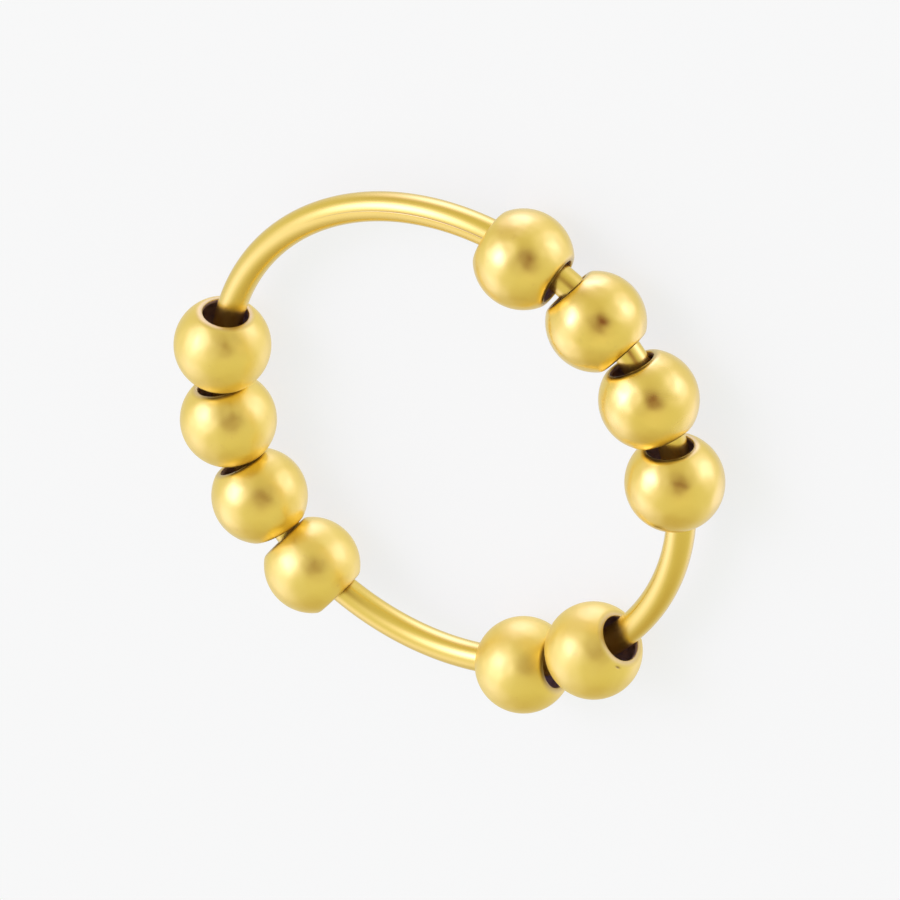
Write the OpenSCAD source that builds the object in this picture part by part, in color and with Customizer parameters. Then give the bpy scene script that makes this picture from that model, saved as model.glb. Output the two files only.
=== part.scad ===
// Spinner ring: loose hollow round beads strung on a closed ring of round wire, lying on its side.
// Millimetres. The origin is the centre of the wire's circle, and +Z is the finger's axis, upward.

/* [Band] */
// Diameter of the finger opening inside the wire
finger_d = 20; // [17:0.5:24]
// Diameter of the round wire
wire_d = 1.2; // [0.8:0.1:1.4]

/* [Beads] */
// Outer diameter of a bead
bead_d = 4; // [3.6:0.1:4.6]
// Wall of a hollow bead
bead_wall = 0.25; // [0.2:0.05:0.5]
// Diameter of the hole in each end of a bead
bore_d = 1.9; // [1.7:0.1:2.3]
// Width of the flat lip round each hole
lip_w = 0.2; // [0.1:0.05:0.3]

/* [Clearances] */
// Gap left between the wire and the holes' lips that it rests on
seat_clearance = 0.05; // [0.02:0.01:0.1]
// Gap between beads that lie against each other
touch_clearance = 0.02; // [0.01:0.01:0.1]
// Gap between beads that stand a little apart
loose_gap = 0.13; // [0.05:0.01:0.4]

/* [Arrangement] */
// Angle of the first bead, anticlockwise from +X
first_angle = 28.2; // [0:0.1:359]
// Beads in the first group, which lie against each other
first_count = 4; // [1:1:4]
// Beads in the second group, which stand a little apart
second_count = 2; // [1:1:3]
// Beads in the third group, which stand a little apart
third_count = 4; // [1:1:4]
// Bare arc between the first group and the second, in degrees
first_arc = 37.5; // [5:0.5:45]
// Bare arc between the second group and the third, in degrees
second_arc = 38; // [5:0.5:45]

/* [Colours] */
// Colour of the satin beads
bead_colour = "#e0bf62"; // [#e0bf62, #d8d8d8, #d9a48a]
// Colour of the polished wire
wire_colour = "#cfae52"; // [#cfae52, #c4c4c4, #c98f72]

/* [Hidden] */
$fn = 96;

// One row for each group: number of beads, gap between them, bare arc that follows
COUNT = 0;
GAP = 1;
ARC = 2;
groups = [
    [first_count, touch_clearance, first_arc],
    [second_count, loose_gap, second_arc],
    [third_count, loose_gap, 0],
];
bead_count = first_count + second_count + third_count;

// The wire's circle, and the bead's lips: half the length over them, and their outer radius
band_r = (finger_d + wire_d) / 2;
lip_r = bore_d / 2 + lip_w;
half_l = sqrt(pow(bead_d / 2, 2) - pow(lip_r, 2));

// A bead is straight and the wire is bent, so the wire crosses a bead's lips nearer the centre than
// its middle. The beads' centres run on a circle halfway between the two.
wire_at_lip_r = sqrt(pow(band_r, 2) - pow(half_l, 2));
path_r = (band_r + wire_at_lip_r) / 2;

// The beads lie on the floor and the wire lies on their lower lips, so the beads' centres stand above
// the wire's plane by what the holes leave free
seat_r = (bore_d - wire_d) / 2 - seat_clearance;
bead_z = sqrt(pow(seat_r, 2) - pow(path_r - wire_at_lip_r, 2));

// Two neighbours meet at the inner edges of their lips. This is the angle between their centres when
// those edges are a gap apart.
edge_r = norm([half_l, path_r - lip_r]);
function spacing(gap) = 2 * atan(half_l / (path_r - lip_r)) + 2 * asin(gap / (2 * edge_r));

// The angle from each bead to the next, then each bead's own angle
steps = [
    for (g = groups)
        for (k = [1 : g[COUNT]])
            k < g[COUNT] ? spacing(g[GAP]) : spacing(touch_clearance) + g[ARC]
];
function sum_of_first(values, n) = n == 0 ? 0 : values[n - 1] + sum_of_first(values, n - 1);
function bead_angle(number) = first_angle + sum_of_first(steps, number - 1);

// The band is one closed ring of round wire
module band() {
    color(wire_colour)
        rotate_extrude()
            translate([band_r, 0])
                circle(d = wire_d);
}

// A hollow ball with its two ends cut flat and a hole through both, along Z
module hollow_bead() {
    difference() {
        intersection() {
            sphere(d = bead_d);
            cube([2 * bead_d, 2 * bead_d, 2 * half_l], center = true);
        }
        sphere(d = bead_d - 2 * bead_wall);
        cylinder(d = bore_d, h = 2 * bead_d, center = true);
    }
}

// A bead at its place on the wire, its hole along the wire
module bead(number) {
    color(bead_colour)
        rotate([0, 0, bead_angle(number)])
            translate([path_r, 0, bead_z])
                rotate([90, 0, 0])
                    hollow_bead();
}

band();
for (number = [1 : bead_count])
    bead(number);
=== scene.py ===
"""Spinner ring: ten hollow satin gold beads strung on a closed ring of gold wire, lying on its side.

The scene is in metres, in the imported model's frame: the origin is the centre of the wire's circle and
+Z is up. The values named below are in millimetres and degrees, and are scaled where they are used.
"""

import math

import bpy
import numpy as np
from mathutils import Matrix, Vector


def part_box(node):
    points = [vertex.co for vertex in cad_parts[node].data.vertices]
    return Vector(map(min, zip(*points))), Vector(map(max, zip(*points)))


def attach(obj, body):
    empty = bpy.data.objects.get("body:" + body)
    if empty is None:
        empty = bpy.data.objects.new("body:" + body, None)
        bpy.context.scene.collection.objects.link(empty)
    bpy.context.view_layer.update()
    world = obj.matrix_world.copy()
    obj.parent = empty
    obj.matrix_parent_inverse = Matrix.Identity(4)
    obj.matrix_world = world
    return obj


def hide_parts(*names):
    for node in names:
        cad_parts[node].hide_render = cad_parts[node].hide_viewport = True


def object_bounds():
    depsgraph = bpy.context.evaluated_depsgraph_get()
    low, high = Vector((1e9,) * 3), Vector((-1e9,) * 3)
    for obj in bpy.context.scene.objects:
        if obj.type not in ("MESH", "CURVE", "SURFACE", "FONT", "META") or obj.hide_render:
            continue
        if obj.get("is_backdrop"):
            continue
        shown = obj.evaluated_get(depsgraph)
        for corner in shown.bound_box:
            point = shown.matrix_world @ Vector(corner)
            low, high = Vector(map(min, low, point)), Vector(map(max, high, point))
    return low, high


MM = 0.001

# Wire: radius of its circle and of its round section, and the points along the circle and round the section
BAND_R = 10.6
WIRE_R = 0.6
WIRE_STEPS = 720
SECTION_STEPS = 64

# A drawing mark runs along the wire: its angle on the section, from the outward side towards +Z, the
# angles of the circle where it starts and ends, the stretches over which it deepens and fades, and its
# width and depth
MARK_AT = 80.5
MARK_FROM = -76.0
MARK_TO = -18.0
MARK_DEEPENS = 4.0
MARK_FADES = 30.0
MARK_WIDTH = 0.05
MARK_DEPTH = 0.015
MARK_HALF_ANGLE = math.degrees(MARK_WIDTH / 2 / WIRE_R)

# How steep the mark's sides are, where its own points lie across it, and how far the section's other
# points keep from it, both in halves of its width
MARK_STEEPNESS = 1.4
MARK_POINTS = np.array([-1.5, -1.0, -0.5, 0.0, 0.5, 1.0, 1.5])
MARK_CLEAR = 2.0

# The wire's fine lines come from a noise: how fast it changes round the section and along the circle, and
# how far and how often the lines waver
LINES_ROUND = 9.0
LINES_ALONG = 3.0
LINES_WAVER = 2.0
LINES_WAVERS = 3

# Bead: outer radius, radius of the hole, width of the flat lip, wall, and the rounding of the lip's outer
# and inner edge
BEAD_R = 2.0
BORE_R = 0.95
LIP_W = 0.2
WALL = 0.25
LIP_OUTER_ROUND = 0.13
LIP_INNER_ROUND = 0.05

# Steps of a bead from its middle to its lip and round its axis, more of both for the nicked bead, and
# steps round an edge of the lip
BEAD_STEPS = 30
NICKED_STEPS = 72
BEAD_COLUMNS = 112
NICKED_COLUMNS = 224
CORNER_STEPS = 6

# How matt each bead's blasted skin is, from the first bead to the tenth
MATT = [0.42, 0.41, 0.36, 0.41, 0.46, 0.46, 0.30, 0.28, 0.24, 0.32]

# How much more matt than the metal round them the lips and the drawing mark are
LIP_MORE_MATT = 0.06
MARK_MORE_MATT = 0.2

# One bead has a small nick beside its mouth: degrees from the bead's axis, degrees round it from the
# outward side towards +Z, half its length and width, and its depth
NICKED_BEAD = 6
NICK_FROM_AXIS = 40.0
NICK_AROUND = 53.0
NICK_HALF_LENGTH = 0.14
NICK_HALF_WIDTH = 0.05
NICK_DEPTH = 0.035

# How steep the nick's sides are, and the square of the distance where it ends, in halves of its size
NICK_STEEPNESS = 1.5
NICK_END = 6.0

# Skin of the beads: its two tones, the paler one of a matt bead, the tarnish, the lip, and the painted shade
# in the nick
SKIN_GOLD = (1.000, 0.745, 0.140)
SKIN_DEEPER = (0.975, 0.715, 0.120)
SKIN_MATT = (0.985, 0.782, 0.140)
TARNISH = (0.72, 0.46, 0.10)
LIP_GOLD = (0.70, 0.53, 0.135)
# Painted shade in the nick: dark brown, darkest where the dent is deepest
NICK_PAINTED_SHADE = (0.30, 0.16, 0.04)

# Inside of the beads: its two tones
INSIDE_DARK = (0.42, 0.30, 0.34)
INSIDE_PALER = (0.64, 0.46, 0.42)

# Wire: its two tones, and the painted shade in the groove of the drawing mark
WIRE_GOLD = (0.950, 0.700, 0.116)
WIRE_DEEPER = (0.920, 0.670, 0.100)
# Painted shade in the drawing mark's groove: dark brown, darkest where the groove is deepest
MARK_PAINTED_SHADE = (0.42, 0.24, 0.06)

# Camera: the point it looks at, its distance from there, the lens and the sensor, the direction of the
# line of sight, the roll of the picture, and how near and how far it sees
AIM = (-0.364, 0.446, 0.0)
DISTANCE = 264.48
LENS = 261.97
SENSOR = 36.0
AZIMUTH = -0.147
ELEVATION = 45.514
ROLL = -135.437
SEES_FROM = 10.0
SEES_TO = 50000.0

# Light that comes from all round, then the soft lamps and the darker places in it. Each of them is a
# direction, a tightness and a strength.
LIGHT_ALL_ROUND = 0.745
LAMPS = [
    [(0.69, 0.05, 0.72), 18.5, 3.65],
    [(-0.34, -0.79, -0.51), 15.5, 1.62],
    [(0.71, -0.35, -0.61), 16.0, 2.15],
    [(0.23, 0.82, 0.52), 12.0, 0.97],
    [(-0.75, 0.08, -0.65), 16.0, 0.60],
]
DARKER_PLACES = [
    [(0.33, -0.89, 0.30), 14.0, 0.10],
    [(0.91, -0.36, -0.19), 8.0, 0.28],
    [(-0.66, 0.71, 0.24), 6.4, 0.31],
]

# The darkest place, which each bead mirrors as a brown spot, and the weak lamp beside it
DARKEST_PLACE = [(-0.17, -0.72, 0.68), 15.5, 0.80]
WEAK_LAMP = [(-0.54, -0.37, 0.76), 14.0, 0.11]

# What is added to the light or taken from it, and in which colour
LIGHT_CHANGES = [
    ["ADD", (0.57, 0.60, 2.20), LAMPS],
    ["SUBTRACT", (0.62, 0.86, 1.28), DARKER_PLACES],
    ["SUBTRACT", (0.81, 1.00, 1.00), [DARKEST_PLACE]],
    ["ADD", (1.00, 0.90, 1.10), [WEAK_LAMP]],
]
NO_LIGHT = (0.0, 0.0, 0.0)

# Backdrop that the camera sees in place of the light
BACKDROP_COLOUR = (0.93, 0.93, 0.93)

# Floor: half its width, its colour, how much paler its palest parts are, and the colour of its own glow
FLOOR_HALF_WIDTH = 3000.0
FLOOR_COLOUR = (0.318, 0.260, 0.108)
FLOOR_PALER = 1.006
FLOOR_GLOW = (0.655, 0.711, 0.786)

# The colour sockets of a Mix node
MIX_SHARE = 0
MIX_FIRST = 6
MIX_SECOND = 7
MIX_RESULT = 2


def set_inputs(tree, item, inputs):
    """Gives each input of a node its value, or joins it to another node's output."""
    for key, value in inputs.items():
        if isinstance(value, bpy.types.NodeSocket):
            tree.links.new(value, item.inputs[key])
        else:
            item.inputs[key].default_value = value


def add_node(tree, kind, inputs=None, **settings):
    """A new node with its settings and its inputs."""
    item = tree.nodes.new(kind)
    for key, value in settings.items():
        setattr(item, key, value)
    set_inputs(tree, item, inputs or {})
    return item


def number(tree, operation, *values):
    """A number worked out from others."""
    return add_node(tree, "ShaderNodeMath", dict(enumerate(values)), operation=operation).outputs[0]


def vector(tree, operation, first, second):
    """A vector worked out from two others."""
    return add_node(tree, "ShaderNodeVectorMath", {0: first, 1: second}, operation=operation).outputs[0]


def colour_input(colour):
    """What a colour's input takes: another node's output as it is, or four numbers from three."""
    return colour if isinstance(colour, bpy.types.NodeSocket) else (*colour, 1.0)


def mix(tree, share, first, second):
    """A colour between two colours."""
    inputs = {MIX_SHARE: share, MIX_FIRST: colour_input(first), MIX_SECOND: colour_input(second)}
    return add_node(tree, "ShaderNodeMix", inputs, data_type="RGBA").outputs[MIX_RESULT]


def object_place(tree):
    """The place on the object."""
    return add_node(tree, "ShaderNodeTexCoord").outputs["Object"]


def carried(tree, name, output="Fac"):
    """What the mesh carries at its points under a name."""
    return add_node(tree, "ShaderNodeAttribute", attribute_name=name).outputs[output]


def noise(tree, place, scale, detail, roughness=0.5):
    """A noise from about 0 to 1 at a place."""
    inputs = {"Vector": place, "Scale": scale, "Detail": detail, "Roughness": roughness}
    return add_node(tree, "ShaderNodeTexNoise", inputs).outputs["Fac"]


def spread(tree, value, low, high, from_low=0.3, from_high=0.7):
    """A value stretched to run from low to high."""
    inputs = {"Value": value, "From Min": from_low, "From Max": from_high, "To Min": low, "To Max": high}
    return add_node(tree, "ShaderNodeMapRange", inputs).outputs["Result"]


def bump(tree, height, depth, strength, under=None):
    """The direction of a surface with this relief, on top of any relief under it."""
    inputs = {"Strength": strength, "Distance": depth * MM, "Height": height}
    if under is not None:
        inputs["Normal"] = under
    return add_node(tree, "ShaderNodeBump", inputs).outputs["Normal"]


def new_material(name):
    """An empty material, its node tree and its shader, which is joined to the output."""
    material = bpy.data.materials.new(name)
    material.use_nodes = True
    tree = material.node_tree
    tree.nodes.clear()
    shader = add_node(tree, "ShaderNodeBsdfPrincipled")
    add_node(tree, "ShaderNodeOutputMaterial", {"Surface": shader.outputs["BSDF"]})
    return material, tree, shader


def satin_gold():
    """Blasted satin gold under a thin lacquer, faintly tarnished, with paler lips, and a modelled nick with
    painted shade in it, darkest where it is deepest.
    """
    material, tree, shader = new_material("satin_gold")
    place = object_place(tree)
    lip = carried(tree, "lip")
    matt = carried(tree, "matt")
    cloud = noise(tree, place, scale=0.42 / MM, detail=2.0)
    fleck = noise(tree, place, scale=2.6 / MM, detail=3.0)
    grain = noise(tree, place, scale=14.0 / MM, detail=2.0)
    swell = noise(tree, place, scale=1.0 / MM, detail=1.0)
    body = mix(tree, spread(tree, cloud, 0.0, 1.0), SKIN_GOLD, SKIN_DEEPER)
    blasted = mix(tree, spread(tree, matt, 0.0, 0.6, from_low=0.26, from_high=0.44), body, SKIN_MATT)
    fleck_share = spread(tree, fleck, 0.0, 0.20, from_low=0.66, from_high=0.78)
    tarnished = mix(tree, fleck_share, blasted, TARNISH)
    skin = mix(tree, lip, tarnished, LIP_GOLD)
    roughness = number(tree, "MULTIPLY_ADD", lip, LIP_MORE_MATT, matt)
    uneven = bump(tree, swell, depth=0.08, strength=1.0)
    set_inputs(tree, shader, {
        # The nick is painted dark brown as painted shade, darker the deeper the dent
        "Base Color": mix(tree, carried(tree, "nick"), skin, NICK_PAINTED_SHADE),
        "Metallic": 1.0,
        "Roughness": number(tree, "ADD", roughness, spread(tree, cloud, -0.02, 0.02)),
        "Coat Weight": 0.35,
        "Coat Roughness": 0.2,
        "Normal": bump(tree, grain, depth=0.02, strength=0.06, under=uneven),
    })
    return material


def bead_inside():
    """The dark, mottled purple-brown inside of a bead."""
    material, tree, shader = new_material("bead_inside")
    blotch = noise(tree, object_place(tree), scale=3.5 / MM, detail=4.0, roughness=0.6)
    set_inputs(tree, shader, {
        "Base Color": mix(tree, spread(tree, blotch, 0.0, 1.0), INSIDE_DARK, INSIDE_PALER),
        "Metallic": 0.2,
        "Roughness": spread(tree, blotch, 0.42, 0.7),
        "Normal": bump(tree, blotch, depth=0.04, strength=0.5),
    })
    return material


def drawn_gold():
    """Drawn and polished gold wire, with faint lines along it and a drawing mark whose shallow groove has
    painted shade in it.
    """
    material, tree, shader = new_material("drawn_gold")
    mark = carried(tree, "mark")
    lines = noise(tree, carried(tree, "drawn", "Vector"), scale=1.0, detail=3.0)
    cloud = noise(tree, object_place(tree), scale=0.38 / MM, detail=2.0)
    body = mix(tree, spread(tree, cloud, 0.0, 1.0), WIRE_GOLD, WIRE_DEEPER)
    roughness = spread(tree, lines, 0.20, 0.26)
    set_inputs(tree, shader, {
        # The drawing mark's groove is painted dark brown as painted shade, darker where it is deeper
        "Base Color": mix(tree, mark, body, MARK_PAINTED_SHADE),
        "Metallic": 1.0,
        "Roughness": number(tree, "MULTIPLY_ADD", mark, MARK_MORE_MATT, roughness),
        "Coat Weight": 0.35,
        "Coat Roughness": 0.15,
        "Normal": bump(tree, lines, depth=0.01, strength=0.12),
    })
    return material


def floor_paper():
    """Matt pale paper lit a little from behind, with a trace of unevenness."""
    material, tree, shader = new_material("floor_paper")
    cloud = noise(tree, object_place(tree), scale=0.06 / MM, detail=2.0)
    paler = [value * FLOOR_PALER for value in FLOOR_COLOUR]
    set_inputs(tree, shader, {
        "Base Color": mix(tree, spread(tree, cloud, 0.0, 1.0), FLOOR_COLOUR, paler),
        "Roughness": 0.9,
        "Specular IOR Level": 0.0,
        "Emission Color": colour_input(FLOOR_GLOW),
        "Emission Strength": 1.0,
    })
    return material


def arc(radius, start, end, steps):
    """Points (along the axis, out from it) on a circle about the bead's centre, angles from the axis."""
    turn = np.radians(np.linspace(start, end, steps + 1))
    return np.column_stack([np.cos(turn), np.sin(turn)]) * radius


def rounded(before, corner, after):
    """Points of a soft corner, from before to after."""
    t = np.linspace(0.0, 1.0, CORNER_STEPS + 1)[:, None]
    return (1 - t) ** 2 * before + 2 * t * (1 - t) * corner + t ** 2 * after


def bead_outline(steps):
    """The closed outline that a bead is turned from, as points (along the axis, out from it).

    With it come each point's share of lip, and whether the face after it is inside the bead.
    """
    lip_r = BORE_R + LIP_W
    inner_r = BEAD_R - WALL
    half_length = math.sqrt(BEAD_R ** 2 - lip_r ** 2)
    lip_angle = math.degrees(math.asin(lip_r / BEAD_R))
    bore_angle = math.degrees(math.asin(BORE_R / inner_r))
    trim = math.degrees(LIP_OUTER_ROUND / BEAD_R)
    outer_corner = np.array([half_length, lip_r])
    inner_corner = np.array([half_length, BORE_R])
    out = np.array([0.0, 1.0])
    along = np.array([1.0, 0.0])
    skin = arc(BEAD_R, 90.0, lip_angle + trim, steps)
    outer_round = rounded(skin[-1], outer_corner, outer_corner - out * LIP_OUTER_ROUND)[1:]
    lip_end = inner_corner + out * LIP_INNER_ROUND
    hole_start = inner_corner - along * LIP_INNER_ROUND
    inner_round = rounded(lip_end, inner_corner, hole_start)
    cavity = arc(inner_r, bore_angle, 90.0, steps // 2)
    half = np.vstack([skin, outer_round, inner_round, cavity])

    # The last points of the inner edge's rounding already face the hole
    turned_in = 2
    flat_lip = len(inner_round) - turned_in
    rising = np.linspace(0.0, 1.0, CORNER_STEPS + 1)[1:]
    lip = np.concatenate([np.zeros(len(skin)), rising, np.ones(flat_lip), np.zeros(turned_in + len(cavity))])
    inside = np.arange(len(half)) >= len(half) - len(cavity) - turned_in

    # The other half mirrors this one and shares its two end points
    other = half[::-1] * np.array([-1.0, 1.0])
    outline = np.vstack([half, other[1:-1]])
    return outline, np.concatenate([lip, lip[::-1][1:-1]]), np.concatenate([inside, inside[:-2][::-1]])


def ring_faces(rows, columns):
    """Quads of a grid of points that closes both ways. Point number: row times columns, plus column."""
    row, column = np.meshgrid(np.arange(rows), np.arange(columns), indexing="ij")
    next_row = (row + 1) % rows
    next_column = (column + 1) % columns
    corners = [row * columns + column, next_row * columns + column,
               next_row * columns + next_column, row * columns + next_column]
    return np.stack([corner.ravel() for corner in corners], axis=1)


def new_object(name, data):
    """A new object in the scene, with its mesh or its camera data."""
    item = bpy.data.objects.new(name, data)
    bpy.context.scene.collection.objects.link(item)
    return item


def new_piece(name, points, faces, materials, face_materials=None):
    """A smooth mesh object from points in millimetres."""
    mesh = bpy.data.meshes.new(name)
    mesh.from_pydata((points * MM).tolist(), [], faces.tolist())
    for material in materials:
        mesh.materials.append(material)
    if face_materials is not None:
        mesh.polygons.foreach_set("material_index", face_materials.astype(np.int32))
    mesh.polygons.foreach_set("use_smooth", np.ones(len(faces), dtype=bool))
    mesh.update()
    return new_object(name, mesh)


def carry(piece, name, values, kind="FLOAT", field="value"):
    """Gives each point of a piece a number or a vector, which its material reads."""
    layer = piece.data.attributes.new(name, kind, "POINT")
    layer.data.foreach_set(field, values.astype(np.float32).ravel())


def nick(along, out, turn):
    """How deep the nick is at each point of a bead's skin."""
    from_axis = np.degrees(np.arctan2(out, along))
    across = np.radians(from_axis - NICK_FROM_AXIS) * BEAD_R
    length = (turn - math.radians(NICK_AROUND)) * out
    distance = (across / NICK_HALF_WIDTH) ** 2 + (length / NICK_HALF_LENGTH) ** 2
    return NICK_DEPTH * np.exp(-distance * NICK_STEEPNESS) * (distance < NICK_END)


def make_bead(count, materials):
    """A bead turned about the wire's direction, in the place of its CAD solid."""
    node_name = f"bead_{count}"
    low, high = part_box(node_name)
    centre = np.array((low + high) / 2) / MM
    outward = np.array([centre[0], centre[1], 0.0])
    outward /= np.linalg.norm(outward)
    upward = np.array([0.0, 0.0, 1.0])
    axis = np.cross(upward, outward)
    nicked = count == NICKED_BEAD
    columns = NICKED_COLUMNS if nicked else BEAD_COLUMNS
    outline, lip, inside = bead_outline(NICKED_STEPS if nicked else BEAD_STEPS)
    along = np.repeat(outline[:, 0], columns)
    out = np.repeat(outline[:, 1], columns)
    turn = np.tile(np.linspace(0.0, 2 * math.pi, columns, endpoint=False), len(outline))
    depth = np.zeros(len(along))
    if nicked:
        depth = nick(along, out, turn) * (np.repeat(~inside, columns) & (along > 0))
    along = along * (1 - depth / BEAD_R)
    out = out * (1 - depth / BEAD_R)
    sideways = np.cos(turn)[:, None] * outward + np.sin(turn)[:, None] * upward
    points = centre + along[:, None] * axis + out[:, None] * sideways
    faces = ring_faces(len(outline), columns)
    piece = new_piece(f"{node_name}_turned", points, faces, materials, np.repeat(inside, columns))
    carry(piece, "lip", np.repeat(lip, columns))
    carry(piece, "nick", depth / NICK_DEPTH)
    carry(piece, "matt", np.full(len(points), MATT[count - 1]))
    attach(piece, node_name)
    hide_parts(node_name)


def wire_section():
    """The angles of the points round the wire's section, which lie close across the drawing mark."""
    even = np.linspace(0.0, 360.0, SECTION_STEPS, endpoint=False)
    clear = even[np.abs(even - MARK_AT) > MARK_CLEAR * MARK_HALF_ANGLE]
    return np.sort(np.concatenate([clear, MARK_AT + MARK_HALF_ANGLE * MARK_POINTS]))


def drawing_mark(circle, around):
    """The drawing mark's share of its full depth at angles of the circle and of the section."""
    across = np.exp(-((around - MARK_AT) / MARK_HALF_ANGLE) ** 2 * MARK_STEEPNESS)
    deepening = np.clip((circle - MARK_FROM) / MARK_DEEPENS, 0, 1)
    fading = np.clip((MARK_TO - circle) / MARK_FADES, 0, 1)
    return across * (deepening * fading)


def drawn_lines(turn, angle):
    """Where the wire's points lie in the noise of its fine lines.

    The angles along the circle and round the section are in radians here.
    """
    return np.column_stack([
        LINES_ROUND * np.cos(angle) + LINES_ALONG * np.cos(turn),
        LINES_ROUND * np.sin(angle) + LINES_ALONG * np.sin(turn),
        LINES_WAVER * np.cos(LINES_WAVERS * turn),
    ])


def make_wire(material):
    """The closed ring of wire, with the drawing mark along part of it."""
    section = wire_section()
    circle = np.repeat(np.linspace(-180.0, 180.0, WIRE_STEPS, endpoint=False), len(section))
    around = np.tile(section, WIRE_STEPS)
    mark = drawing_mark(circle, around)
    radius = WIRE_R - MARK_DEPTH * mark
    angle = np.radians(around)
    turn = np.radians(circle)
    out = BAND_R + radius * np.cos(angle)
    points = np.column_stack([out * np.cos(turn), out * np.sin(turn), radius * np.sin(angle)])
    piece = new_piece("wire_drawn", points, ring_faces(WIRE_STEPS, len(section)), [material])
    carry(piece, "mark", mark)
    carry(piece, "drawn", drawn_lines(turn, angle), "FLOAT_VECTOR", "vector")
    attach(piece, "band")
    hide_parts("band")


def camera_axes():
    """The picture's right and up and the way back to the camera."""
    azimuth = math.radians(AZIMUTH)
    elevation = math.radians(ELEVATION)
    roll = math.radians(ROLL)
    flat = math.cos(elevation)
    back = Vector((math.sin(azimuth) * flat, -math.cos(azimuth) * flat, math.sin(elevation)))
    level = Vector((0, 0, 1)).cross(back).normalized()
    right = level * math.cos(roll) + back.cross(level) * math.sin(roll)
    return right, back.cross(right), back


def make_camera():
    """The camera, which the scene then uses."""
    data = bpy.data.cameras.new("camera")
    data.lens = LENS
    data.sensor_width = SENSOR
    data.clip_start = SEES_FROM * MM
    data.clip_end = SEES_TO * MM
    right, up, back = camera_axes()
    place = (Vector(AIM) + back * DISTANCE) * MM
    camera = new_object("camera", data)
    camera.matrix_world = Matrix.Translation(place) @ Matrix((right, up, back)).transposed().to_4x4()
    bpy.context.scene.camera = camera


def lobe(tree, direction, toward, tightness, strength):
    """Light that is strongest toward one direction and fades smoothly round it."""
    inputs = {0: direction, 1: Vector(toward).normalized()}
    closeness = add_node(tree, "ShaderNodeVectorMath", inputs, operation="DOT_PRODUCT").outputs["Value"]
    falling = number(tree, "MULTIPLY_ADD", closeness, tightness, -tightness)
    return number(tree, "MULTIPLY", number(tree, "EXPONENT", falling), strength)


def coloured(tree, colour, strength):
    """Light of one colour and this strength."""
    inputs = {0: colour, "Scale": strength}
    return add_node(tree, "ShaderNodeVectorMath", inputs, operation="SCALE").outputs[0]


def make_light():
    """Soft studio light from all round. The camera sees a plain backdrop in its place."""
    world = bpy.data.worlds.new("studio")
    bpy.context.scene.world = world
    world.use_nodes = True
    tree = world.node_tree
    tree.nodes.clear()
    direction = add_node(tree, "ShaderNodeTexCoord").outputs["Generated"]
    light = (LIGHT_ALL_ROUND,) * 3
    for operation, colour, places in LIGHT_CHANGES:
        for place in places:
            light = vector(tree, operation, light, coloured(tree, colour, lobe(tree, direction, *place)))
    cast = add_node(tree, "ShaderNodeBackground", {"Color": vector(tree, "MAXIMUM", light, NO_LIGHT)})
    seen = add_node(tree, "ShaderNodeBackground", {"Color": colour_input(BACKDROP_COLOUR)})
    by_camera = add_node(tree, "ShaderNodeLightPath").outputs["Is Camera Ray"]
    both = add_node(tree, "ShaderNodeMixShader", {
        0: by_camera, 1: cast.outputs["Background"], 2: seen.outputs["Background"]})
    add_node(tree, "ShaderNodeOutputWorld", {"Surface": both.outputs[0]})


def make_floor(height):
    """A pale floor under the ring. It takes shadows but isn't mirrored in the metal and shades no light."""
    reach = FLOOR_HALF_WIDTH * MM
    corners = [(x * reach, y * reach, height) for x, y in ((-1, -1), (1, -1), (1, 1), (-1, 1))]
    mesh = bpy.data.meshes.new("floor")
    mesh.from_pydata(corners, [], [(0, 1, 2, 3)])
    mesh.materials.append(floor_paper())
    floor = new_object("floor", mesh)
    floor.visible_glossy = False
    floor.visible_shadow = False
    floor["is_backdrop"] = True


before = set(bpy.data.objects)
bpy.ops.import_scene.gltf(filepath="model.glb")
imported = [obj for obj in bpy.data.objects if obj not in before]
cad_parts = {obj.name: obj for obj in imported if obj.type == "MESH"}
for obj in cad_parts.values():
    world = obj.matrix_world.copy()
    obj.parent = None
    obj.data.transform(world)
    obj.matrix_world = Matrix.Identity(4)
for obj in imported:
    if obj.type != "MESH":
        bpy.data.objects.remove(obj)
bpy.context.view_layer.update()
bpy.context.scene.view_settings.view_transform = "Standard"

bead_count = sum(name.startswith("bead_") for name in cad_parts)
bead_materials = [satin_gold(), bead_inside()]
for count in range(1, bead_count + 1):
    make_bead(count, bead_materials)
make_wire(drawn_gold())
make_camera()
make_light()
make_floor(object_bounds()[0][2])
